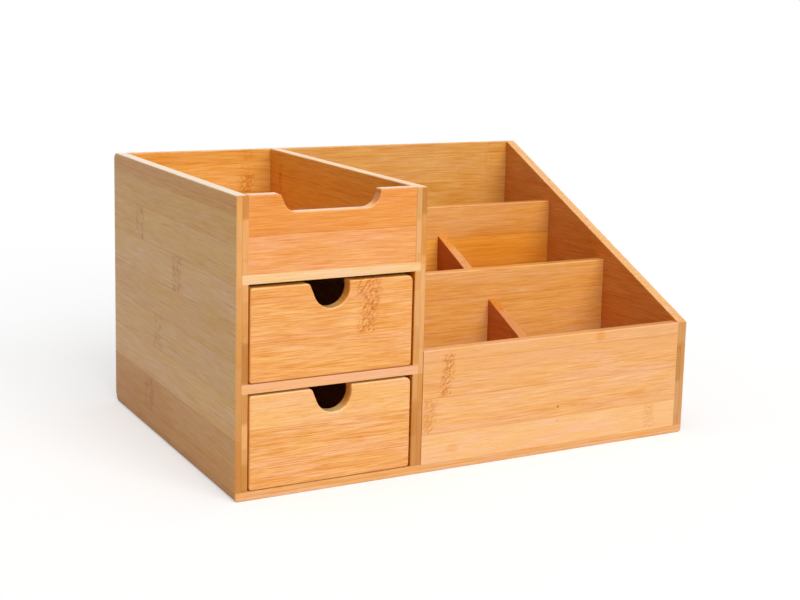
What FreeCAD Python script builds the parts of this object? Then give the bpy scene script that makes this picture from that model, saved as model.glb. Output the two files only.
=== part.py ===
import FreeCAD, Part
import os
import Sketcher

# Bamboo desk organizer: a storage bin over two drawers on the left, stepped open bays on the right.
# Millimetres, +Z up, +X to the right, front towards -Y. The origin is under the middle of the base
# board. Every board is one solid, modelled flat in its own corner and then put in its place.

SIZES = [
    # carcass
    ("overall_width", 330.0),
    ("overall_depth", 230.0),
    ("overall_height", 180.0),
    ("low_front_height", 78.0),
    ("panel_thickness", 7.5),
    ("shelf_thickness", 5.5),
    ("left_bay_width", 108.5),
    ("dado_depth", 3.75),
    ("back_corner_radius", 5.0),
    ("base_end_radius", 2.5),
    ("edge_ease", 0.8),
    # the bin's front board and the scoop in it
    ("bin_front_height", 45.9),
    ("scoop_from_left", 19.6),
    ("scoop_width", 64.4),
    ("scoop_depth", 11.0),
    ("scoop_lean", 5.0),
    ("scoop_left_radius", 8.5),
    ("scoop_right_radius", 10.0),
    # dividers of the stepped bays
    ("front_row_depth", 79.0),
    ("middle_row_depth", 65.0),
    ("long_divider_drop", 11.0),
    ("cross_divider_drop", 32.5),
    ("left_bays_width", 100.5),
    # drawers, which share the height that is left below the bin and sit a little differently in it
    ("drawer_gap_below", 0.3),
    ("lower_drawer_gap_above", 1.6),
    ("upper_drawer_gap_above", 2.3),
    ("drawer_gap_beside", 1.2),
    ("drawer_gap_behind", 4.5),
    ("drawer_left_corner_radius", 1.6),
    ("drawer_low_right_radius", 2.2),
    ("drawer_high_right_radius", 3.6),
    ("drawer_front_ease", 1.0),
    ("drawer_side_thickness", 5.5),
    ("drawer_side_drop", 12.5),
    ("drawer_bottom_thickness", 3.0),
    ("drawer_bottom_lift", 4.0),
    ("drawer_groove_depth", 2.5),
    # the notch in each drawer front, which lies a little to one side of the front's middle
    ("notch_radius", 11.7),
    ("notch_centre_drop", 3.9),
    ("notch_lean", 3.0),
    ("lower_drawer_notch_right", 1.0),
    ("upper_drawer_notch_left", 1.3),
    # the top corners of both kinds of cut-out, with a soft left side and a crisp right side
    ("left_shoulder_radius", 2.6),
    ("right_shoulder_radius", 1.2),
    # how far a cut runs past the face that it opens
    ("cut_overrun", 1.0),
]

TOUCH = 1e-4    # two places closer than this are the same place

os.makedirs("parts", exist_ok=True)
doc = FreeCAD.newDocument("desk_organizer")
sheet = doc.addObject("Spreadsheet::Sheet", "Sizes")
for row, (alias, number) in enumerate(SIZES, start=1):
    sheet.set(f"A{row}", alias.replace("_", " "))
    sheet.set(f"B{row}", str(number))
    sheet.setAlias(f"B{row}", alias)
doc.recompute()

# Places and sizes worked out from the sheet, as expressions
LEFT = "(-Sizes.overall_width / 2)"
FRONT = "(-Sizes.overall_depth / 2)"
THICK = "Sizes.panel_thickness"
BASE_TOP = "Sizes.shelf_thickness"
INNER_DEPTH = "(Sizes.overall_depth - Sizes.panel_thickness)"
WALL_HEIGHT = "(Sizes.overall_height - Sizes.shelf_thickness)"
BIN_HEIGHT = "Sizes.bin_front_height"
SHELF_PITCH = f"(({WALL_HEIGHT} - {BIN_HEIGHT}) / 2)"
BAY_HEIGHT = f"({SHELF_PITCH} - Sizes.shelf_thickness)"
PARTITION_LEFT = "(Sizes.panel_thickness + Sizes.left_bay_width)"
PARTITION_RIGHT = f"({PARTITION_LEFT} + Sizes.panel_thickness)"
BAYS_WIDTH = f"(Sizes.overall_width - {PARTITION_RIGHT} - Sizes.panel_thickness)"
MIDDLE_DIVIDER = "(Sizes.panel_thickness + Sizes.front_row_depth)"
REAR_DIVIDER = f"({MIDDLE_DIVIDER} + Sizes.panel_thickness + Sizes.middle_row_depth)"
DRAWER_WIDTH = "(Sizes.left_bay_width - 2 * Sizes.drawer_gap_beside)"
DRAWER_DEPTH = f"({INNER_DEPTH} - Sizes.drawer_gap_behind)"


def value(expression):
    """The number that an expression on the sheet gives."""
    return float(sheet.evalExpression(expression))


def slope_height(depth, drop):
    """Height over the base board of a line that lies this far below the right panel's sloped top."""
    rise = f"(Sizes.overall_height - Sizes.low_front_height) * {depth} / {INNER_DEPTH}"
    return f"(Sizes.low_front_height + {rise} - {drop} - Sizes.shelf_thickness)"


def new_board(label, right, back, up):
    """An empty body whose own corner is put this far from the organizer's front left bottom corner."""
    body = doc.addObject("PartDesign::Body", label)
    body.Label = label
    body.setExpression("Placement.Base.x", f"{LEFT} + {right}")
    body.setExpression("Placement.Base.y", f"{FRONT} + {back}")
    body.setExpression("Placement.Base.z", up)
    return body


def new_sketch(body, role, offset):
    """A sketch on one of the body's own origin planes, moved along the plane's normal."""
    plane = next(item for item in body.Origin.OriginFeatures if item.Role == role)
    sketch = body.newObject("Sketcher::SketchObject", "Sketch")
    sketch.AttachmentSupport = (plane, [""])
    sketch.MapMode = "FlatFace"
    sketch.setExpression("AttachmentOffset.Base.z", offset)
    return sketch


def pin_point(sketch, line, end, across, up):
    """Holds one end of a line at a place given by two expressions."""
    for kind, axis, place in (("DistanceX", -2, across), ("DistanceY", -1, up)):
        if abs(value(place)) < TOUCH:
            sketch.addConstraint(Sketcher.Constraint("PointOnObject", line, end, axis))
            continue
        number = sketch.addConstraint(Sketcher.Constraint(kind, -1, 1, line, end, value(place)))
        sketch.setExpression(f"Constraints[{number}]", place)


def outline(body, role, corners, offset="0"):
    """A closed outline of straight lines through corners that are given by expressions."""
    sketch = new_sketch(body, role, offset)
    points = [FreeCAD.Vector(value(across), value(up), 0) for across, up in corners]
    for start, end in zip(points, points[1:] + points[:1]):
        sketch.addGeometry(Part.LineSegment(start, end), False)
    for line in range(len(corners)):
        following = (line + 1) % len(corners)
        sketch.addConstraint(Sketcher.Constraint("Coincident", line, 2, following, 1))
    for line, (across, up) in enumerate(corners):
        pin_point(sketch, line, 1, across, up)
    return sketch


def rectangle(body, role, across, up, low=("0", "0"), offset="0"):
    """A rectangle from its low corner, with its size across and up."""
    right = f"({low[0]} + {across})"
    top = f"({low[1]} + {up})"
    corners = [(low[0], low[1]), (right, low[1]), (right, top), (low[0], top)]
    return outline(body, role, corners, offset)


def pad(body, sketch, length, backwards=False):
    """Thickens an outline into a board."""
    feature = body.newObject("PartDesign::Pad", "Pad")
    feature.Profile = sketch
    feature.setExpression("Length", length)
    feature.Reversed = backwards
    doc.recompute()


def cut(body, sketch, depth, along_normal=False):
    """Cuts an outline into the board, against the sketch's normal unless told otherwise."""
    before = body.Tip.Shape.Volume
    feature = body.newObject("PartDesign::Pocket", "Pocket")
    feature.Profile = sketch
    feature.setExpression("Length", depth)
    feature.Reversed = along_normal
    doc.recompute()
    if feature.Shape.Volume > before - TOUCH:
        raise RuntimeError(f"a cut in {body.Label} removed nothing")


def edges_at(body, **levels):
    """Names of the board's edges that lie wholly at the given x, y or z levels."""
    names = []
    for number, edge in enumerate(body.Tip.Shape.Edges, start=1):
        box = edge.BoundBox
        ends = {"x": (box.XMin, box.XMax), "y": (box.YMin, box.YMax), "z": (box.ZMin, box.ZMax)}
        if all(abs(end - value(level)) < TOUCH for axis, level in levels.items() for end in ends[axis]):
            names.append(f"Edge{number}")
    return names


def edges_along_y(body, level, low, high):
    """Names of the straight edges from front to back at this height, from left to right."""
    found = []
    for number, edge in enumerate(body.Tip.Shape.Edges, start=1):
        box = edge.BoundBox
        if (box.XLength < TOUCH and box.ZLength < TOUCH and abs(box.ZMin - value(level)) < TOUCH
                and value(low) < box.XMin < value(high)):
            found.append((box.XMin, f"Edge{number}"))
    return [name for _, name in sorted(found)]


def round_edges(body, radius, names):
    """Rounds the named edges of the board."""
    previous = body.Tip
    feature = body.newObject("PartDesign::Fillet", "Fillet")
    feature.Base = (previous, sorted(set(names)))
    feature.setExpression("Radius", radius)
    doc.recompute()


def upper_edges(body, lowest):
    """Names of the edges along the top of a board with a sloped top, on both of its faces."""
    chosen = []
    for name in edges_at(body, x="0") + edges_at(body, x=THICK):
        box = body.Tip.Shape.getElement(name).BoundBox
        if box.ZMin > value(lowest) - TOUCH and box.YLength > TOUCH:
            chosen.append(name)
    return chosen


def ease_top(body, top, front="0", back=THICK, axis="y"):
    """Sands the two long top edges of a board that stands between its neighbours."""
    names = edges_at(body, z=top, **{axis: front}) + edges_at(body, z=top, **{axis: back})
    round_edges(body, "Sizes.edge_ease", names)


# Base board: full width and depth, under every wall. Its side profile has the rounded back corner, and
# its two ends are rounded underneath.
base = new_board("base_board", "0", "0", "0")
pad(base, rectangle(base, "YZ_Plane", "Sizes.overall_depth", BASE_TOP), "Sizes.overall_width")
BASE_BACK_RADIUS = "min(Sizes.back_corner_radius; Sizes.shelf_thickness - Sizes.edge_ease)"
round_edges(base, BASE_BACK_RADIUS, edges_at(base, y="Sizes.overall_depth", z="0"))
BASE_END_RADIUS = f"min(Sizes.base_end_radius; {BASE_BACK_RADIUS} / 2)"
round_edges(base, BASE_END_RADIUS,
            edges_at(base, x="0", z="0") + edges_at(base, x="Sizes.overall_width", z="0"))
round_edges(base, "Sizes.edge_ease", edges_at(base, y="0", z="0"))


def shelf_grooves(body, face, along_normal):
    """Cuts the two grooves that hold the shelves' ends, in the face of a wall that looks into the bay."""
    for count in (1, 2):
        level = f"({count} * {SHELF_PITCH} - Sizes.shelf_thickness)"
        groove = rectangle(body, "YZ_Plane", f"({INNER_DEPTH} + Sizes.cut_overrun)",
                           "Sizes.shelf_thickness", low=("(-Sizes.cut_overrun)", level), offset=face)
        cut(body, groove, "Sizes.dado_depth", along_normal)


BACK_RADIUS = "min(Sizes.back_corner_radius; Sizes.panel_thickness - Sizes.edge_ease)"

# Left side panel: a full-height board that stands on the base, with its back corner rounded
left = new_board("left_side_panel", "0", "0", BASE_TOP)
pad(left, rectangle(left, "YZ_Plane", "Sizes.overall_depth", WALL_HEIGHT), THICK)
round_edges(left, BACK_RADIUS, edges_at(left, y="Sizes.overall_depth", z=WALL_HEIGHT))
shelf_grooves(left, THICK, False)
round_edges(left, "Sizes.edge_ease",
            edges_at(left, x="0", z=WALL_HEIGHT) + edges_at(left, x=THICK, z=WALL_HEIGHT)
            + edges_at(left, x="0", y="0"))

# Centre partition: full height, between the drawers and the stepped bays, up against the back panel. Its
# front edge is sanded round on the drawers' side.
partition = new_board("centre_partition", PARTITION_LEFT, "0", BASE_TOP)
pad(partition, rectangle(partition, "YZ_Plane", INNER_DEPTH, WALL_HEIGHT), THICK)
shelf_grooves(partition, "0", True)
ease_top(partition, WALL_HEIGHT, axis="x")
round_edges(partition, "Sizes.edge_ease", edges_at(partition, x="0", y="0"))

# Right side panel: its top is level over the back panel's end, then runs in one straight slope down to
# the low front
RIGHT_FRONT = "(Sizes.low_front_height - Sizes.shelf_thickness)"
right = new_board("right_side_panel", f"(Sizes.overall_width - {THICK})", "0", BASE_TOP)
right_outline = outline(right, "YZ_Plane", [("0", "0"), ("Sizes.overall_depth", "0"),
                                            ("Sizes.overall_depth", WALL_HEIGHT),
                                            (INNER_DEPTH, WALL_HEIGHT), ("0", RIGHT_FRONT)])
pad(right, right_outline, THICK)
round_edges(right, BACK_RADIUS, edges_at(right, y="Sizes.overall_depth", z=WALL_HEIGHT))
round_edges(right, "Sizes.edge_ease", upper_edges(right, RIGHT_FRONT) + edges_at(right, x=THICK, y="0"))

# Back panel: between the side panels, with its top rounded like their back corners
back = new_board("back_panel", THICK, INNER_DEPTH, BASE_TOP)
BACK_WIDTH = f"(Sizes.overall_width - 2 * {THICK})"
pad(back, rectangle(back, "XZ_Plane", BACK_WIDTH, WALL_HEIGHT), THICK, backwards=True)
round_edges(back, BACK_RADIUS, edges_at(back, y=THICK, z=WALL_HEIGHT))
round_edges(back, "Sizes.edge_ease", edges_at(back, y="0", z=WALL_HEIGHT))

# Two shelves: the roof of each drawer, with both ends held in the grooves of the walls beside them
for count, label in ((1, "lower_shelf"), (2, "upper_shelf")):
    shelf = new_board(label, f"({THICK} - Sizes.dado_depth)", "0", f"({count} * {SHELF_PITCH})")
    shelf_width = "(Sizes.left_bay_width + 2 * Sizes.dado_depth)"
    pad(shelf, rectangle(shelf, "XY_Plane", shelf_width, INNER_DEPTH), "Sizes.shelf_thickness")

# Bin front board: stands on the upper shelf, with a shallow scoop that shows what is in the bin. The
# scoop's left side leans outwards from its floor, and its right side is one plain round.
bin_front = new_board("bin_front_board", THICK, "0", f"({BASE_TOP} + 2 * {SHELF_PITCH})")
bin_front_face = rectangle(bin_front, "XZ_Plane", "Sizes.left_bay_width", BIN_HEIGHT)
pad(bin_front, bin_front_face, THICK, backwards=True)
SCOOP_FLOOR = f"({BIN_HEIGHT} - Sizes.scoop_depth)"
SCOOP_LEFT = "(Sizes.scoop_from_left + Sizes.scoop_lean)"
SCOOP_RIGHT = "(Sizes.scoop_from_left + Sizes.scoop_width)"
# the leaning side is carried on above the board's top edge at its own slope
SCOOP_OPENING = f"({BIN_HEIGHT} + Sizes.cut_overrun)"
SCOOP_LEFT_TOP = "(Sizes.scoop_from_left - Sizes.scoop_lean * Sizes.cut_overrun / Sizes.scoop_depth)"
scoop = outline(bin_front, "XZ_Plane", [(SCOOP_LEFT, SCOOP_FLOOR), (SCOOP_RIGHT, SCOOP_FLOOR),
                                        (SCOOP_RIGHT, SCOOP_OPENING), (SCOOP_LEFT_TOP, SCOOP_OPENING)])
cut(bin_front, scoop, THICK)
round_edges(bin_front, "Sizes.scoop_left_radius", edges_at(bin_front, x=SCOOP_LEFT, z=SCOOP_FLOOR))
round_edges(bin_front, "Sizes.scoop_right_radius", edges_at(bin_front, x=SCOOP_RIGHT, z=SCOOP_FLOOR))
round_edges(bin_front, "Sizes.left_shoulder_radius",
            edges_at(bin_front, x="Sizes.scoop_from_left", z=BIN_HEIGHT))
round_edges(bin_front, "Sizes.right_shoulder_radius", edges_at(bin_front, x=SCOOP_RIGHT, z=BIN_HEIGHT))
ease_top(bin_front, BIN_HEIGHT)

# Low front board: closes the stepped bays at the front, as high as the low end of the right side panel
low_front = new_board("low_front_board", PARTITION_RIGHT, "0", BASE_TOP)
pad(low_front, rectangle(low_front, "XZ_Plane", BAYS_WIDTH, RIGHT_FRONT), THICK, backwards=True)
ease_top(low_front, RIGHT_FRONT)

# Long dividers: two stepped boards across the stepped bays, each a little lower than the sloped panel
for label, depth in (("middle_divider", MIDDLE_DIVIDER), ("rear_divider", REAR_DIVIDER)):
    divider = new_board(label, PARTITION_RIGHT, depth, BASE_TOP)
    height = slope_height(depth, "Sizes.long_divider_drop")
    pad(divider, rectangle(divider, "XZ_Plane", BAYS_WIDTH, height), THICK, backwards=True)
    ease_top(divider, height)

# Cross dividers: short boards from front to back, with tops that slope like the right side panel
CROSS_LEFT = f"({PARTITION_RIGHT} + Sizes.left_bays_width)"
MIDDLE_DIVIDER_BACK = f"({MIDDLE_DIVIDER} + {THICK})"
for label, depth, length in (("front_cross_divider", THICK, "Sizes.front_row_depth"),
                             ("rear_cross_divider", MIDDLE_DIVIDER_BACK, "Sizes.middle_row_depth")):
    cross = new_board(label, CROSS_LEFT, depth, BASE_TOP)
    low_end = slope_height(depth, "Sizes.cross_divider_drop")
    high_end = slope_height(f"({depth} + {length})", "Sizes.cross_divider_drop")
    corners = [("0", "0"), (length, "0"), (length, high_end), ("0", low_end)]
    pad(cross, outline(cross, "YZ_Plane", corners), THICK)
    round_edges(cross, "Sizes.edge_ease", upper_edges(cross, low_end))


def thumb_notch(body, centre, front_height):
    """A round-bottomed notch in a drawer front's top edge, whose left side leans outwards."""
    sketch = new_sketch(body, "XZ_Plane", "0")
    centre_height = f"({front_height} - Sizes.notch_centre_drop)"
    opening = f"({front_height} + Sizes.cut_overrun)"
    left_top = f"({centre} - Sizes.notch_radius - Sizes.notch_lean)"
    # first guesses of the round's two ends, which the constraints then settle
    radius = value("Sizes.notch_radius")
    middle = FreeCAD.Vector(value(centre), value(centre_height), 0)
    lowest = middle - FreeCAD.Vector(0, radius, 0)
    left_start = FreeCAD.Vector(value(left_top), value(opening), 0)
    left_end = middle - FreeCAD.Vector(radius, 0, 0)
    half_opening = (radius ** 2 - (value(opening) - middle.y) ** 2) ** 0.5
    right_end = FreeCAD.Vector(middle.x + half_opening, value(opening), 0)
    sketch.addGeometry(Part.LineSegment(left_start, left_end), False)
    sketch.addGeometry(Part.Arc(left_end, lowest, right_end), False)
    sketch.addGeometry(Part.LineSegment(right_end, left_start), False)
    sketch.addConstraint(Sketcher.Constraint("Coincident", 1, 2, 2, 1))
    sketch.addConstraint(Sketcher.Constraint("Coincident", 2, 2, 0, 1))
    sketch.addConstraint(Sketcher.Constraint("Horizontal", 2))
    pin_point(sketch, 1, 3, centre, centre_height)
    pin_point(sketch, 0, 1, left_top, opening)
    number = sketch.addConstraint(Sketcher.Constraint("Radius", 1, radius))
    sketch.setExpression(f"Constraints[{number}]", "Sizes.notch_radius")
    sketch.addConstraint(Sketcher.Constraint("Tangent", 0, 2, 1, 1))
    cut(body, sketch, THICK)
    along = edges_along_y(body, front_height, left_top, f"({centre} + Sizes.notch_radius)")
    round_edges(body, "Sizes.left_shoulder_radius", along[:1])
    along = edges_along_y(body, front_height, centre, f"({centre} + Sizes.notch_radius)")
    round_edges(body, "Sizes.right_shoulder_radius", along[-1:])


def drawer(name, floor, notch_centre):
    """One drawer: a notched front, two sides, a back, and a thin bottom held in grooves."""
    left_edge = f"({THICK} + Sizes.drawer_gap_beside)"
    level = f"({floor} + Sizes.drawer_gap_below)"
    front_height = f"({BAY_HEIGHT} - Sizes.drawer_gap_below - Sizes.{name}_gap_above)"
    side_height = f"({front_height} - Sizes.drawer_side_drop)"
    groove_top = "(Sizes.drawer_bottom_lift + Sizes.drawer_bottom_thickness)"
    side = "Sizes.drawer_side_thickness"
    box_depth = f"({DRAWER_DEPTH} - {THICK})"
    inside_width = f"({DRAWER_WIDTH} - 2 * {side})"

    front = new_board(f"{name}_front", left_edge, "0", level)
    face = rectangle(front, "XZ_Plane", DRAWER_WIDTH, front_height)
    pad(front, face, THICK, backwards=True)
    round_edges(front, "Sizes.drawer_left_corner_radius",
                edges_at(front, x="0", z="0") + edges_at(front, x="0", z=front_height))
    round_edges(front, "Sizes.drawer_low_right_radius", edges_at(front, x=DRAWER_WIDTH, z="0"))
    round_edges(front, "Sizes.drawer_high_right_radius", edges_at(front, x=DRAWER_WIDTH, z=front_height))
    thumb_notch(front, notch_centre, front_height)
    round_edges(front, "Sizes.drawer_front_ease", edges_at(front, y="0"))
    groove = rectangle(front, "XZ_Plane", f"({inside_width} + 2 * Sizes.drawer_groove_depth)",
                       "Sizes.drawer_bottom_thickness",
                       low=(f"({side} - Sizes.drawer_groove_depth)", "Sizes.drawer_bottom_lift"),
                       offset=f"(Sizes.drawer_groove_depth - {THICK})")
    cut(front, groove, "Sizes.drawer_groove_depth")

    right_side = f"({left_edge} + {DRAWER_WIDTH} - {side})"
    for hand, across, inner_face, along_normal in (("left", left_edge, side, False),
                                                   ("right", right_side, "0", True)):
        board = new_board(f"{name}_{hand}_side", across, THICK, level)
        pad(board, rectangle(board, "YZ_Plane", box_depth, side_height), side)
        groove = rectangle(board, "YZ_Plane", f"({box_depth} + 2 * Sizes.cut_overrun)",
                           "Sizes.drawer_bottom_thickness",
                           low=("(-Sizes.cut_overrun)", "Sizes.drawer_bottom_lift"), offset=inner_face)
        cut(board, groove, "Sizes.drawer_groove_depth", along_normal)
        ease_top(board, side_height, back=side, axis="x")

    rear = new_board(f"{name}_back", f"({left_edge} + {side})", f"({DRAWER_DEPTH} - {side})",
                     f"({level} + {groove_top})")
    rear_height = f"({side_height} - {groove_top})"
    pad(rear, rectangle(rear, "XZ_Plane", inside_width, rear_height), side, backwards=True)
    ease_top(rear, rear_height, back=side)

    bottom = new_board(f"{name}_bottom", f"({left_edge} + {side} - Sizes.drawer_groove_depth)",
                       f"({THICK} - Sizes.drawer_groove_depth)", f"({level} + Sizes.drawer_bottom_lift)")
    pad(bottom, rectangle(bottom, "XY_Plane", f"({inside_width} + 2 * Sizes.drawer_groove_depth)",
                          f"({box_depth} + Sizes.drawer_groove_depth)"), "Sizes.drawer_bottom_thickness")


drawer("lower_drawer", BASE_TOP, f"({DRAWER_WIDTH} / 2 + Sizes.lower_drawer_notch_right)")
drawer("upper_drawer", f"({BASE_TOP} + {SHELF_PITCH})",
       f"({DRAWER_WIDTH} / 2 - Sizes.upper_drawer_notch_left)")

doc.recompute()
for item in doc.Objects:
    if "Invalid" in item.State or "Error" in item.State:
        raise RuntimeError(f"{item.Label} failed: {item.State}")
boards = [item for item in doc.Objects if item.TypeId == "PartDesign::Body"]
for board in boards:
    if board.Shape.isNull() or not board.Shape.isValid() or len(board.Shape.Solids) != 1:
        raise RuntimeError(f"{board.Label} isn't one sound solid")
for board in boards:
    board.Shape.exportStep(f"parts/{board.Label}.step")
    box = board.Shape.optimalBoundingBox()
    print(f"{board.Label:26s} {board.Shape.Volume:10.0f}  x {box.XMin:7.1f} {box.XMax:7.1f}"
          f"  y {box.YMin:7.1f} {box.YMax:7.1f}  z {box.ZMin:6.1f} {box.ZMax:6.1f}")
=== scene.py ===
import math

import bmesh
import bpy
from mathutils import Matrix, Vector


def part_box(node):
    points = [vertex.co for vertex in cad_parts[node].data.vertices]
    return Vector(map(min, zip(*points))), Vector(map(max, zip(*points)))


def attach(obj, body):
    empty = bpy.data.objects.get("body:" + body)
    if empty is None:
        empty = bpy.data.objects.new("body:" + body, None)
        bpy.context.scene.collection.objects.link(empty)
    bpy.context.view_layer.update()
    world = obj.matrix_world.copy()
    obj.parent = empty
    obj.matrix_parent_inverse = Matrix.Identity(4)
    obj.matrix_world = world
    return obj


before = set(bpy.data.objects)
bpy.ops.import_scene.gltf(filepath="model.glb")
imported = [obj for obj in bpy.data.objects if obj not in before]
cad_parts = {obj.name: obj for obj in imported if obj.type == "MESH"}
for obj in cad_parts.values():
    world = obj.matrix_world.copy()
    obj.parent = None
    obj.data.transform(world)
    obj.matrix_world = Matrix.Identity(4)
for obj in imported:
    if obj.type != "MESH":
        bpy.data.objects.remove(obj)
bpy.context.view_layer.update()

# The view: a long lens that looks at the organizer from its left front and a little above. The camera
# leans by a degree, and its frame is moved down a little, so that the upright edges stay nearly upright.
camera_place = Vector((-0.45510, -0.83652, 0.29052))
camera_turn = math.radians(28.682)
camera_dip = math.radians(8.9744)
camera_lean = math.radians(1.3708)
picture_width = 800
focal_share = 1393.49 / picture_width
frame_drop_share = -80 / picture_width

forward = Vector((math.sin(camera_turn) * math.cos(camera_dip), math.cos(camera_turn) * math.cos(camera_dip),
                  -math.sin(camera_dip)))
level = Vector((math.cos(camera_turn), -math.sin(camera_turn), 0))
upright = level.cross(forward)
rightward = math.cos(camera_lean) * level + math.sin(camera_lean) * upright
upward = math.cos(camera_lean) * upright - math.sin(camera_lean) * level

camera = bpy.data.objects.new("camera", bpy.data.cameras.new("camera"))
camera.data.sensor_width = 36
camera.data.lens = camera.data.sensor_width * focal_share
camera.data.shift_y = frame_drop_share
camera.data.clip_start = 0.02
camera.data.clip_end = 100
camera.matrix_world = (Matrix.Translation(camera_place)
                       @ Matrix((rightward, upward, -forward)).transposed().to_4x4())
bpy.context.scene.collection.objects.link(camera)
bpy.context.scene.camera = camera


# The stage: a plain pale floor that keeps the organizer's soft shadow, under a plain pale sky. The camera
# sees both as white. One broad lamp stands in front, a little to the right, and a wider, weaker one hangs
# above.
class Value:
    """One value inside a finish. Python sums on it add Math nodes to the finish."""

    def __init__(self, finish, socket):
        self.finish = finish
        self.socket = socket

    def math(self, operation, *others):
        return self.finish.node("ShaderNodeMath", {"operation": operation}, [self, *others])[0]

    def __add__(self, other):
        return self.math("ADD", other)

    def __radd__(self, other):
        return self.math("ADD", other)

    def __sub__(self, other):
        return self.math("SUBTRACT", other)

    def __rsub__(self, other):
        return self.finish.node("ShaderNodeMath", {"operation": "SUBTRACT"}, [other, self])[0]

    def __mul__(self, other):
        return self.math("MULTIPLY", other)

    def __rmul__(self, other):
        return self.math("MULTIPLY", other)

    def __truediv__(self, other):
        return self.math("DIVIDE", other)

    def __abs__(self):
        return self.math("ABSOLUTE")

    def floor(self):
        return self.math("FLOOR")

    def fade(self, start, end):
        """Goes smoothly from 0 to 1 while this value goes from start to end."""
        return self.finish.node("ShaderNodeMapRange", {"interpolation_type": "SMOOTHSTEP"},
                                [self, start, end])[0]

    def between(self, low, high, blur):
        """Is 1 from low to high and 0 outside them, and each edge is blurred this far to both sides."""
        return self.fade(low - blur, low + blur) * self.fade(high + blur, high - blur)


class Finish:
    """The nodes of a material or of the sky, which all come from one method."""

    def __init__(self, owner):
        owner.use_nodes = True
        self.owner = owner
        self.tree = owner.node_tree
        self.tree.nodes.clear()

    def node(self, kind, settings=None, inputs=()):
        """Adds a node: its settings first, then the values or links of its sockets. Returns its outputs."""
        added = self.tree.nodes.new(kind)
        for name, setting in (settings or {}).items():
            setattr(added, name, setting)
        pairs = inputs.items() if isinstance(inputs, dict) else enumerate(inputs)
        for key, given in pairs:
            if isinstance(given, Value):
                self.tree.links.new(given.socket, added.inputs[key])
            else:
                added.inputs[key].default_value = given
        return [Value(self, socket) for socket in added.outputs]

    def close(self, shader, output="ShaderNodeOutputMaterial"):
        self.node(output, None, {"Surface": shader})
        return self.owner


white = (1, 1, 1, 1)
floor_half_width = 6.0
floor_pale = (0.60, 0.60, 0.60, 1)
floor_lift = 0.42
sky_strength = 0.38

floor_mesh = bmesh.new()
bmesh.ops.create_grid(floor_mesh, x_segments=1, y_segments=1, size=floor_half_width)
floor = bpy.data.objects.new("floor", bpy.data.meshes.new("floor"))
floor_mesh.to_mesh(floor.data)
floor_mesh.free()
bpy.context.scene.collection.objects.link(floor)

floor_paint = Finish(bpy.data.materials.new("floor_white"))
seen_directly = floor_paint.node("ShaderNodeLightPath")[0]
matt = floor_paint.node("ShaderNodeBsdfDiffuse", None, {"Color": floor_pale})[0]
lift = floor_paint.node("ShaderNodeEmission", None,
                        {"Color": white, "Strength": seen_directly * floor_lift})[0]
matt_and_lift = floor_paint.node("ShaderNodeAddShader", None, [matt, lift])[0]
floor.data.materials.append(floor_paint.close(matt_and_lift))

sky = Finish(bpy.data.worlds.new("white_sky"))
paths = sky.node("ShaderNodeLightPath")
camera_ray, glossy_ray, transmission_ray = paths[0], paths[3], paths[6]
seen_or_mirrored = camera_ray.math("MAXIMUM", glossy_ray).math("MAXIMUM", transmission_ray)
sky_level = seen_or_mirrored * (1.0 - sky_strength) + sky_strength
sky_light = sky.node("ShaderNodeBackground", None, {"Color": white, "Strength": sky_level})[0]
bpy.context.scene.world = sky.close(sky_light, "ShaderNodeOutputWorld")

# Each lamp's strength, how wide it looks from the organizer, and the direction in which it stands
lamps = {"front_lamp": (1.97, math.radians(50), Vector((0.12, -0.855, 0.50))),
         "top_lamp": (0.9, math.radians(60), Vector((-0.05, -0.15, 0.98)))}
for name, (strength, spread, direction) in lamps.items():
    lamp = bpy.data.objects.new(name, bpy.data.lights.new(name, "SUN"))
    lamp.data.energy = strength
    lamp.data.angle = spread
    lamp.rotation_euler = direction.to_track_quat("Z", "Y").to_euler()
    bpy.context.scene.collection.objects.link(lamp)


# The boards: bamboo strips glued side by side in two plies, sanded and sealed with a clear satin
# lacquer. Each board's finish follows its own grain, the seams of its strips and the rings of the cane.
MM = 0.001
X, Y, Z = 0, 1, 2
STRIP_WIDTH = 23.0
PLY_THICKNESS = 3.75
CANE_LENGTH = 210.0
STROKE_LEAN = math.radians(40)

# Shares of a board's mean colour, channel by channel: those of its streaks, fibres, tints, rings,
# smudges and end grain. The smudges darken soft ovals, which on the left side panel are painted shade
# near the floor.
PALE = (1.09, 1.27, 1.75)
DEEP = (0.89, 0.71, 0.30)
FIBRE = (0.85, 0.64, 0.34)
GOLD = (1.0, 0.97, 0.70)
BLUSH = (1.0, 1.0, 1.30)
HALO = (0.95, 0.83, 0.60)
STROKE = (0.72, 0.49, 0.20)
SMUDGE_AND_SHADE = (0.95, 0.82, 0.58)
END = (0.84, 0.78, 0.66)
UNCHANGED = (1.0, 1.0, 1.0)


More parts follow.
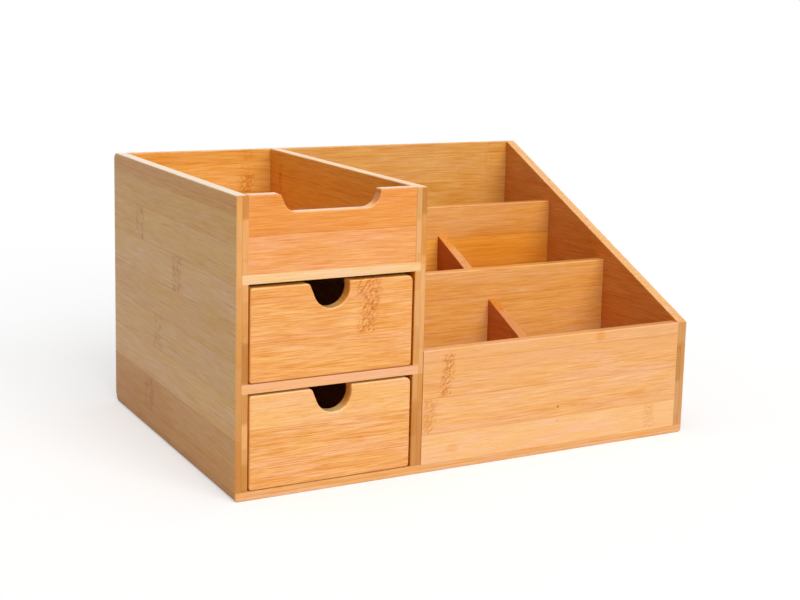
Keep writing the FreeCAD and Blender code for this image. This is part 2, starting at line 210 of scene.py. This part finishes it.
class Bamboo(Finish):
    """The finish of one board. Places are in millimetres along the grain, across it and through it."""

    def __init__(self, board, grain, across, seed):
        super().__init__(bpy.data.materials.new(f"{board}_finish"))
        self.board = board
        self.seed = seed
        through = X + Y + Z - grain - across
        self.lower_face = round(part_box(board)[0][through] / MM, 2)
        coordinates = self.node("ShaderNodeTexCoord")
        normal, metres = coordinates[1], coordinates[3]
        place = self.node("ShaderNodeVectorMath", {"operation": "SCALE"}, {0: metres, "Scale": 1 / MM})[0]
        axes = self.node("ShaderNodeSeparateXYZ", None, [place])
        self.run, self.side, self.depth = axes[grain], axes[across], axes[through]
        facing = self.node("ShaderNodeSeparateXYZ", None, [normal])
        self.end_grain = abs(facing[grain]).fade(0.5, 0.8)
        self.long_edge = abs(facing[across]).fade(0.5, 0.8)

    def mix(self, share, first, second, blend="MIX"):
        """Goes from the first colour to the second as the share goes from 0 to 1."""
        share_socket, first_socket, second_socket, result = 0, 6, 7, 2
        return self.node("ShaderNodeMix", {"data_type": "RGBA", "blend_type": blend, "clamp_factor": True},
                         {share_socket: share, first_socket: first, second_socket: second})[result]

    def tinted(self, strength, colours, shares):
        """Multiplies each channel of the colours by its own share, as strongly as the strength says."""
        return self.mix(strength, colours, shares + (1,), "MULTIPLY")

    def noise(self, length, height, variety, run=None, side=None, detail=1.0):
        """Noise whose spots are this long along the grain and this high across it, about 0.5."""
        place = self.node("ShaderNodeCombineXYZ", None,
                          [(run or self.run) / length, (side or self.side) / height, self.depth / height])[0]
        return self.node("ShaderNodeTexNoise", {"noise_dimensions": "4D"},
                         {"Vector": place, "W": variety, "Scale": 1.0, "Detail": detail})[0]

    def chance(self, first, second, third):
        """A number from 0 to 1 that stays the same for the same three values."""
        cell = self.node("ShaderNodeCombineXYZ", None, [first, second, third])[0]
        return self.node("ShaderNodeTexWhiteNoise", {"noise_dimensions": "3D"}, {"Vector": cell})[0]

    def lay_strips(self, seam, pitch, ply_start):
        """Lays the strips in two plies. The grain wanders a little, so that no seam is quite straight."""
        wander_size, seam_core, seam_edge, shift_seed = 1.8, 0.1, 0.5, 3.7
        wander = self.noise(length=150.0, height=70.0, variety=self.seed) - 0.5
        self.level = self.side + wander * wander_size
        self.at_ply = (self.depth - ply_start) / PLY_THICKNESS
        self.ply_line = abs(self.at_ply - 1.0).fade(0.10, 0.03)
        ply = self.at_ply.floor()
        at_strip = (self.level - seam) / pitch + ply * self.chance(ply, self.seed, shift_seed)
        strip = at_strip.floor()
        from_middle = abs(at_strip - strip - 0.5)
        self.seam_line = from_middle.fade(0.5 - seam_edge / pitch, 0.5 - seam_core / pitch)
        self.strip_chance = self.chance(strip, ply, self.seed)
        self.strip_seed = self.strip_chance * 37.0 + self.seed

    def mark_rings(self, rings, stray_rings):
        """Marks where rings of the cane cross the strips: those listed, and stray ones at their strength."""
        bands = []
        wander_size = 4.0
        wander = (self.noise(length=9.0, height=6.0, variety=self.seed + 5.0) - 0.5) * wander_size
        for place, low, high, half_width, lean, strength in rings:
            away = abs(self.run + wander - self.level * lean - (place - lean * (low + high) / 2))
            band = away.fade(half_width * 1.3, half_width * 0.4)
            bands.append(band * self.level.between(low, high, 0.6) * strength)
        if stray_rings:
            along = self.run / CANE_LENGTH + self.strip_chance * 11.0
            away = abs(along - along.floor() - 0.5) * CANE_LENGTH + wander * 0.5
            bands.append(abs(away - 2.0).fade(2.4, 0.5) * stray_rings)
        self.ring = sum(bands[1:], bands[0]) if bands else None

    def draw_fibres(self):
        """Draws the long streaks and the fine dashes of the vessels, which swirl where a ring is."""
        self.flow = self.level
        if self.ring:
            swirl_size = 7.0
            swirl = self.noise(length=2.6, height=3.6, variety=self.seed + 9.0) - 0.5
            self.flow = self.level + swirl * (self.ring * swirl_size)
        self.streaks = self.noise(length=20.0, height=0.52, variety=self.strip_seed + 3.0, side=self.flow,
                                  detail=2.0)
        self.vessels = self.noise(length=6.5, height=0.42, variety=self.strip_seed + 4.0, side=self.flow)

    def streaked(self, colour, figure, calm, strip_variety):
        """Streaks, bands and slow changes of tint around the mean colour, with a tone for each strip."""
        tint_strength, vessel_strength, strip_contrast = 0.45, 0.5 * figure, 0.4 * strip_variety
        tint = self.noise(length=42.0, height=7.0, variety=self.strip_seed)
        cloud = self.noise(length=50.0, height=12.0, variety=self.strip_seed + 1.0)
        bands = self.noise(length=90.0, height=2.2, variety=self.strip_seed + 2.0, side=self.flow)
        tone = ((self.streaks - 0.5) * 3.0 + (bands - 0.5) * 0.45 + (cloud - 0.5) * 0.6) * figure
        for low, high in calm:
            tone = tone * (1.0 - self.level.between(low, high, 0.5) * 0.5)
        tone = tone + (self.strip_chance - 0.5) * strip_contrast + 0.5
        colours = self.tinted(1.0, self.mix(tone, DEEP + (1,), PALE + (1,)), colour)
        colours = self.tinted(tint.fade(0.60, 0.38) * tint_strength, colours, GOLD)
        colours = self.tinted(tint.fade(0.45, 0.66) * tint_strength, colours, BLUSH)
        return self.tinted(self.vessels.fade(0.56, 0.68) * vessel_strength, colours, FIBRE)

    def marked(self, colours, strips, smudges_and_shade):
        """Gives single strips their own colour, and adds the smudges, which are soft ovals."""
        for low, high, shares in strips:
            colours = self.tinted(self.level.between(low, high, 0.5), colours, shares)
        # Smudges: soft darker ovals. On the left side panel they are painted shade near the floor.
        for place, level, half_length, half_height, strength in smudges_and_shade:
            away = ((abs(self.run - place) / half_length).math("POWER", 2.0)
                    + (abs(self.level - level) / half_height).math("POWER", 2.0))
            colours = self.tinted(away.fade(1.0, 0.0) * strength, colours, SMUDGE_AND_SHADE)
        return colours

    def ringed(self, colours, stroke_size):
        """Draws each ring as a band of short slanted strokes, dark and pale, in a faint halo."""
        if not self.ring:
            return colours
        stroke_length, stroke_height = 2.4 * stroke_size, 0.8 * stroke_size
        strokes = self.noise(stroke_length, stroke_height, self.seed + 11.0,
                             run=self.run * math.cos(STROKE_LEAN) + self.level * math.sin(STROKE_LEAN),
                             side=self.level * math.cos(STROKE_LEAN) - self.run * math.sin(STROKE_LEAN))
        colours = self.tinted(self.ring * 0.6, colours, HALO)
        colours = self.tinted(self.ring * strokes.fade(0.51, 0.44), colours, STROKE)
        return self.tinted(self.ring * strokes.fade(0.55, 0.65) * 0.8, colours, PALE)

    def end_colours(self, foot, head, blocks):
        """Colours the end grain from foot to head, with fine streaks along the edge, block by block."""
        streak_width, streak_length = 0.7, 22.0
        place = self.node("ShaderNodeCombineXYZ", None,
                          [self.depth / streak_width, self.side / streak_length, self.seed])[0]
        streaks = self.node("ShaderNodeTexNoise", None, {"Vector": place, "Scale": 1.0})[0]
        tone = (streaks - 0.5) * 0.9 + (self.strip_chance - 0.5) * 0.4 + 0.5
        mean = self.mix(self.side.fade(5.0, 140.0), foot + (1,), head + (1,))
        colours = self.mix(1.0, self.mix(tone, DEEP + (1,), PALE + (1,)), mean, "MULTIPLY")
        for ply, low, high, shares in blocks:
            in_ply = abs(self.at_ply - ply - 0.5).fade(0.53, 0.47)
            colours = self.tinted(in_ply * self.side.between(low, high, 1.5), colours, shares)
        return colours

    def lacquer(self, colours, gloss, end_gloss, edge_gloss):
        """Closes the finish: satin wood with a fine relief, under a clear coat that is thinner in places."""
        relief = 0.12 * MM
        grain_height = self.streaks * 0.5 + self.vessels * 0.35 - self.seam_line * 0.6
        bump = self.node("ShaderNodeBump", None,
                         {"Strength": 0.35, "Distance": relief, "Height": grain_height})[0]
        roughness = 0.50 - (self.streaks - 0.5) * 0.2 + self.end_grain * 0.12
        coat = self.long_edge * (edge_gloss - gloss) + self.end_grain * (end_gloss - gloss) + gloss
        shader = self.node("ShaderNodeBsdfPrincipled", None,
                           {"Base Color": colours, "Roughness": roughness, "Normal": bump, "IOR": 1.5,
                            "Specular IOR Level": 0.12, "Coat Weight": coat, "Coat Roughness": 0.12,
                            "Coat IOR": 1.5})[0]
        self.close(shader)

    def dress(self):
        """Gives the finish to every slot of the board."""
        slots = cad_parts[self.board].data.materials
        for number in range(len(slots)):
            slots[number] = self.owner


def bamboo(board, grain, across, colour, seam, seed, strips=(), rings=(), smudges_and_shade=(), stray_rings=0.0,
           pitch=STRIP_WIDTH, ply_start=None, figure=1.0, calm=(), strip_variety=0.5, gloss=0.8,
           end_gloss=0.55, ends=None, blocks=(), stroke_size=1.0, painted_light_rim=UNCHANGED, rim_gloss=1.0):
    """Dresses a board in bamboo of this mean colour. Levels are places across the grain.

    seam: the level of one seam between strips. strips: lowest and highest level, and the shares of the
    colour between them. rings: place along the grain, lowest and highest level, half width, lean,
    strength. smudges: place along the grain, level, half length, half height, strength; they darken soft
    ovals, which on the left side panel are painted shade near the floor. ply_start: where the first of
    the two plies begins, if that isn't the board's lower face. figure: how strong the streaks are, and
    calm: lowest and highest level of the strips where they are half as strong. gloss, end_gloss: the
    lacquer's share on the faces and on the end grain. ends: the colour of the end grain at the board's
    foot and at its head. blocks: ply, lowest and highest level, and the shares of the end grain's colour
    there. stroke_size: how coarse the strokes of the rings are. rim, rim_gloss: shares of the colour on
    the board's long edges, and the lacquer there. The rim shares are painted light: a painted highlight
    on top edges, and a paler colour on edges whose faces carry painted shade.
    """
    finish = Bamboo(board, grain, across, seed)
    finish.lay_strips(seam, pitch, finish.lower_face if ply_start is None else ply_start)
    finish.mark_rings(rings, stray_rings)
    finish.draw_fibres()

    faces = finish.streaked(colour, figure, calm, strip_variety)
    faces = finish.ringed(finish.marked(faces, strips, smudges_and_shade), stroke_size)
    faces = finish.tinted(finish.seam_line * 0.6, faces, FIBRE)
    # The long edges take the edge shares: painted light, a painted highlight on top edges and a paler colour
    # against faces that carry painted shade.
    if painted_light_rim != UNCHANGED:
        faces = finish.tinted(finish.long_edge, faces, painted_light_rim)

    foot, head = ends or [tuple(channel * share for channel, share in zip(colour, END))] * 2
    colours = finish.mix(finish.end_grain, faces, finish.end_colours(foot, head, blocks))
    colours = finish.tinted(finish.ply_line * 0.5, colours, FIBRE)
    brightest = (0.97, 0.97, 0.97, 1)
    finish.lacquer(finish.mix(1.0, colours, brightest, "DARKEN"), gloss, end_gloss, rim_gloss)
    finish.dress()


# Base board: one thin board glued under all the walls. Its long grain shows along the front, and its
# end shows as a darker strip under the left side panel.
bamboo("base_board", X, Y, (0.82, 0.415, 0.155), seam=3.0, seed=1.0, ply_start=-1.0, figure=0.5)

# Side panels: two plies of strips that run from front to back, so their front edges show the strips'
# ends, block by block. The strips under the left panel's top edge are warmer than the rest, and each of
# its rings is double. Its top edge is painted nearly white, a painted highlight, and the bottom of its
# face is darker from its lowest strips and two long smudges: painted shade near the floor.
left_pitch = 22.7
left_rings = ((57.0, 128.1, 0.6), (-16.0, 105.4, 0.6), (21.0, 60.0, 0.45), (40.0, 14.6, 0.45))
bamboo("left_side_panel", Y, Z, (0.818, 0.468, 0.173), seam=37.3, seed=2.0, pitch=left_pitch,
       figure=0.55, strip_variety=0.1, gloss=0.5, ends=((0.57, 0.22, 0.038), (0.74, 0.35, 0.105)),
       painted_light_rim=(1.17, 1.69, 3.95), stroke_size=1.8,
       strips=[(5.0, 37.3, (0.925, 0.83, 0.735)), (37.3, 60.0, (1.05, 1.05, 1.09)),
               (82.7, 105.4, (0.97, 0.93, 0.80)), (128.1, 150.8, (0.99, 0.97, 0.80)),
               (150.8, 185.0, (0.94, 0.87, 0.60)), (168.0, 185.0, (0.92, 0.81, 0.66))],
       rings=[(place + gap, low, low + left_pitch, 4.4, 0.0, strength) for gap in (-4.5, 4.5)
              for place, low, strength in left_rings],
       smudges_and_shade=[(60.0, 20.0, 105.0, 24.0, 0.9), (-75.0, 8.0, 70.0, 16.0, 0.7)],
       blocks=[(0, 80.0, 106.0, (0.94, 0.88, 0.68)), (0, 128.1, 150.8, (1.12, 1.18, 1.45)),
               (0, 164.0, 185.0, (1.02, 0.97, 0.80)), (1, 22.4, 32.0, (1.14, 1.28, 1.6)),
               (1, 32.0, 46.4, (1.28, 1.52, 2.1)), (1, 70.4, 94.4, (0.76, 0.64, 0.43)),
               (1, 94.4, 106.0, (0.95, 0.90, 0.72)), (1, 118.4, 142.0, (1.09, 1.17, 1.35)),
               (1, 142.0, 166.4, (1.05, 0.98, 0.88)), (1, 166.4, 185.0, (0.86, 0.69, 0.45))])
# The right panel's mean colour is deeper than the left panel's: painted shade for the shaded bays that its
# inner face looks into. Its top edge is painted paler, a painted highlight.
bamboo("right_side_panel", Y, Z, (0.68, 0.235, 0.042), seam=36.0, seed=3.0, stray_rings=0.25,
       ends=((0.64, 0.30, 0.095), (0.60, 0.285, 0.070)), strip_variety=0.3, painted_light_rim=(1.18, 1.72, 2.66),
       blocks=[(0, 37.0, 62.0, (0.86, 0.78, 0.60)), (0, 64.0, 80.0, (1.06, 1.15, 1.35)),
               (1, 64.0, 80.0, (1.02, 1.10, 1.30))])

# Centre partition: the full-height wall between the drawers and the open bays, into which the shelves
# are let. Its strips run from front to back, like those of the side panels. Its mean colour is deeper
# than the left side panel's: painted shade for the bin and bays on its two sides. The share below its
# top strip makes it deeper and more orange still, and its top edge is painted much paler, a painted
# highlight.
bamboo("centre_partition", Y, Z, (0.665, 0.25, 0.023), seam=25.0, seed=4.0, figure=0.9,
       ends=((0.57, 0.23, 0.045), (0.80, 0.385, 0.125)), painted_light_rim=(1.43, 1.925, 3.86), rim_gloss=0.8,
       strips=[(5.0, 171.5, (0.99, 0.91, 0.56))], rings=[(88.5, 148.0, 171.0, 3.0, 0.0, 0.8)],
       blocks=[(0, 46.0, 80.0, (1.05, 1.10, 1.12)), (1, 46.0, 80.0, (1.05, 1.10, 1.12)),
               (0, 160.0, 185.0, (0.86, 0.88, 0.75)), (1, 138.0, 163.0, (0.90, 0.80, 0.52)),
               (1, 163.0, 185.0, (0.71, 0.58, 0.30))])

# Back panel: the board glued between the side panels, with the grain running across. A ring of the
# cane shows near its top.
bamboo("back_panel", X, Z, (0.745, 0.355, 0.070), seam=148.5, seed=5.0, stray_rings=0.2,
       rings=[(-67.5, 148.5, 161.0, 6.0, 0.2, 0.65)])

# Shelves: thin boards let into the walls, with the grain running across. Their front edges are pale,
# and each shows one ply.
bamboo("upper_shelf", X, Y, (0.92, 0.58, 0.275), seam=-100.0, seed=6.0, ply_start=131.0, figure=0.35)
bamboo("lower_shelf", X, Y, (0.87, 0.43, 0.184), seam=-104.0, seed=7.0, ply_start=67.0, figure=0.35)

# Bin front board and low front board: fronts with the grain running across, glued in flush with the
# side panels. The bin's front has the scoop, and the low one closes the bays.
# The bin front's top edge is painted paler: a painted highlight.
bamboo("bin_front_board", X, Z, (0.84, 0.308, 0.056), seam=156.5, seed=8.0, figure=0.75,
       strips=[(100.0, 156.5, (1.04, 1.19, 2.0))], strip_variety=0.1, painted_light_rim=(1.10, 1.35, 1.4))
bamboo("low_front_board", X, Z, (0.85, 0.418, 0.150), seam=24.2, seed=9.0, figure=0.6,
       strips=[(-10.0, 24.2, (1.04, 1.17, 1.40)), (34.0, 47.2, (1.02, 1.07, 1.15))],
       strip_variety=0.1, calm=[(-10.0, 24.2), (62.0, 80.0)],
       rings=[(-24.0, 48.0, 74.0, 4.6, 0.12, 0.8), (-36.5, 25.0, 47.0, 5.5, 0.1, 0.4),
              (135.5, 6.5, 23.5, 4.5, 0.0, 0.35)],
       smudges_and_shade=[(92.5, 75.0, 5.0, 4.5, 1.0), (-37.0, 36.0, 7.0, 14.0, 0.5), (124.0, 32.5, 12.0, 3.2, 0.8),
                (-19.0, 13.0, 6.0, 3.5, 0.8)])

# Dividers: two long stepped boards and two short sloped ones, glued between the walls and pinned. The
# short ones' faces are painted a deep brown: painted shade for the bays they stand in. Their top edges
# are paler than their faces, near the plain colour of the bamboo.
# The rear divider's lower strip is painted paler and more orange: painted light that lifts the shade falling
# on it in the bay, deepest by the cross divider. Two smudges make its right part a deeper orange.
bamboo("rear_divider", X, Z, (0.79, 0.35, 0.078), seam=115.8, seed=10.0, figure=0.7,
       strips=[(60.0, 115.8, (1.13, 1.18, 0.79))],
       smudges_and_shade=[(112.0, 98.0, 80.0, 28.0, strength) for strength in (1.0, 0.8)])
bamboo("middle_divider", X, Z, (0.82, 0.395, 0.100), seam=88.0, seed=11.0, figure=0.7)
cross_ends = ((0.86, 0.54, 0.13), (0.86, 0.54, 0.13))
bamboo("rear_cross_divider", Y, Z, (0.46, 0.075, 0.008), seam=60.0, seed=12.0, stray_rings=0.3,
       ply_start=0.0, ends=cross_ends, painted_light_rim=(1.53, 3.36, 3.9))
bamboo("front_cross_divider", Y, Z, (0.52, 0.118, 0.013), seam=58.0, seed=13.0, stray_rings=0.3,
       ply_start=0.0, ends=cross_ends, painted_light_rim=(1.21, 1.78, 0.96))

# Drawers: a thick front with a thumb notch, glued to a box of thinner boards with a thin plywood floor.
# The box is sanded and has less lacquer than the front. The fronts' end grain, which shows on the notch's
# side walls, and their long edges, which include the notch's floor, are painted paler: painted light
# where the shelf's shade falls.
upper_front = dict(colour=(0.86, 0.385, 0.106), seam=93.5, seed=20.0,
                   strips=[(99.0, 118.0, (1.02, 1.05, 1.15)), (119.0, 130.0, (0.99, 0.95, 0.82))],
                   rings=[(-80.0, 94.0, 116.3, 6.0, 0.1, 0.95), (-81.0, 116.7, 127.0, 9.0, 0.0, 0.8)],
                   smudges_and_shade=[(-145.0, 119.0, 28.0, 4.0, 0.6), (-148.0, 95.0, 22.0, 4.0, 0.5)])
lower_front = dict(colour=(0.86, 0.410, 0.132), seam=42.5, seed=30.0, calm=[(42.5, 70.0)],
                   strips=[(-10.0, 16.0, (0.98, 0.95, 0.88)), (42.5, 70.0, (1.04, 1.13, 1.22))],
                   smudges_and_shade=[(-140.0, 30.0, 9.0, 7.0, 0.4), (-152.0, 12.0, 25.0, 3.0, 0.6)])
# End grain of the drawer fronts, paler than the wood: painted light on the notch's shaded walls.
notch_ends_painted_light = ((0.92, 0.40, 0.078), (0.92, 0.40, 0.078))
box_colour = (0.80, 0.41, 0.15)
floor_colour = (0.80, 0.52, 0.29)
for name, front in (("upper_drawer", upper_front), ("lower_drawer", lower_front)):
    seam, seed = front["seam"], front["seed"]
    bamboo(f"{name}_front", X, Z, strip_variety=0.1, ends=notch_ends_painted_light, end_gloss=0.1, painted_light_rim=(1.12, 1.4, 1.55),
           **front)
    for count, side in enumerate(("left_side", "right_side"), start=1):
        bamboo(f"{name}_{side}", Y, Z, box_colour, seam=seam, seed=seed + count, ply_start=0.0,
               stray_rings=0.5, gloss=0.4)
    bamboo(f"{name}_back", X, Z, box_colour, seam=seam, seed=seed + 3.0, ply_start=0.0, gloss=0.4)
    bamboo(f"{name}_bottom", Y, X, floor_colour, seam=0.0, seed=seed + 4.0, ply_start=0.0, figure=0.4,
           gloss=0.2)

# Pin nails: two small steel pins through the low front board into the end of the front cross divider.
# Their heads are just proud of the sanded face. Each has its place across, its height and its colour.
pin_radius = 0.6 * MM
pin_depth = 1.2 * MM
pin_proud = 0.05 * MM
front_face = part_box("low_front_board")[0].y
pins = {"upper_pin": (60.4 * MM, 30.7 * MM, (0.16, 0.10, 0.06, 1)),
        "lower_pin": (60.4 * MM, 21.1 * MM, (0.62, 0.38, 0.18, 1))}
for name, (pin_x, pin_z, pin_colour) in pins.items():
    pin_finish = Finish(bpy.data.materials.new(f"{name}_finish"))
    pin_shader = pin_finish.node("ShaderNodeBsdfPrincipled", None,
                                 {"Base Color": pin_colour, "Metallic": 0.3, "Roughness": 0.6,
                                  "Specular IOR Level": 0.2})[0]
    shape = bmesh.new()
    bmesh.ops.create_cone(shape, cap_ends=True, segments=24, radius1=pin_radius, radius2=pin_radius,
                          depth=pin_depth)
    bmesh.ops.rotate(shape, verts=shape.verts, matrix=Matrix.Rotation(math.radians(90), 3, "X"))
    bmesh.ops.translate(shape, verts=shape.verts,
                        vec=Vector((pin_x, front_face - pin_proud + pin_depth / 2, pin_z)))
    pin = bpy.data.objects.new(name, bpy.data.meshes.new(name))
    shape.to_mesh(pin.data)
    shape.free()
    pin.data.materials.append(pin_finish.close(pin_shader))
    bpy.context.scene.collection.objects.link(pin)
    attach(pin, "carcass")

bpy.context.scene.view_settings.view_transform = "Standard"
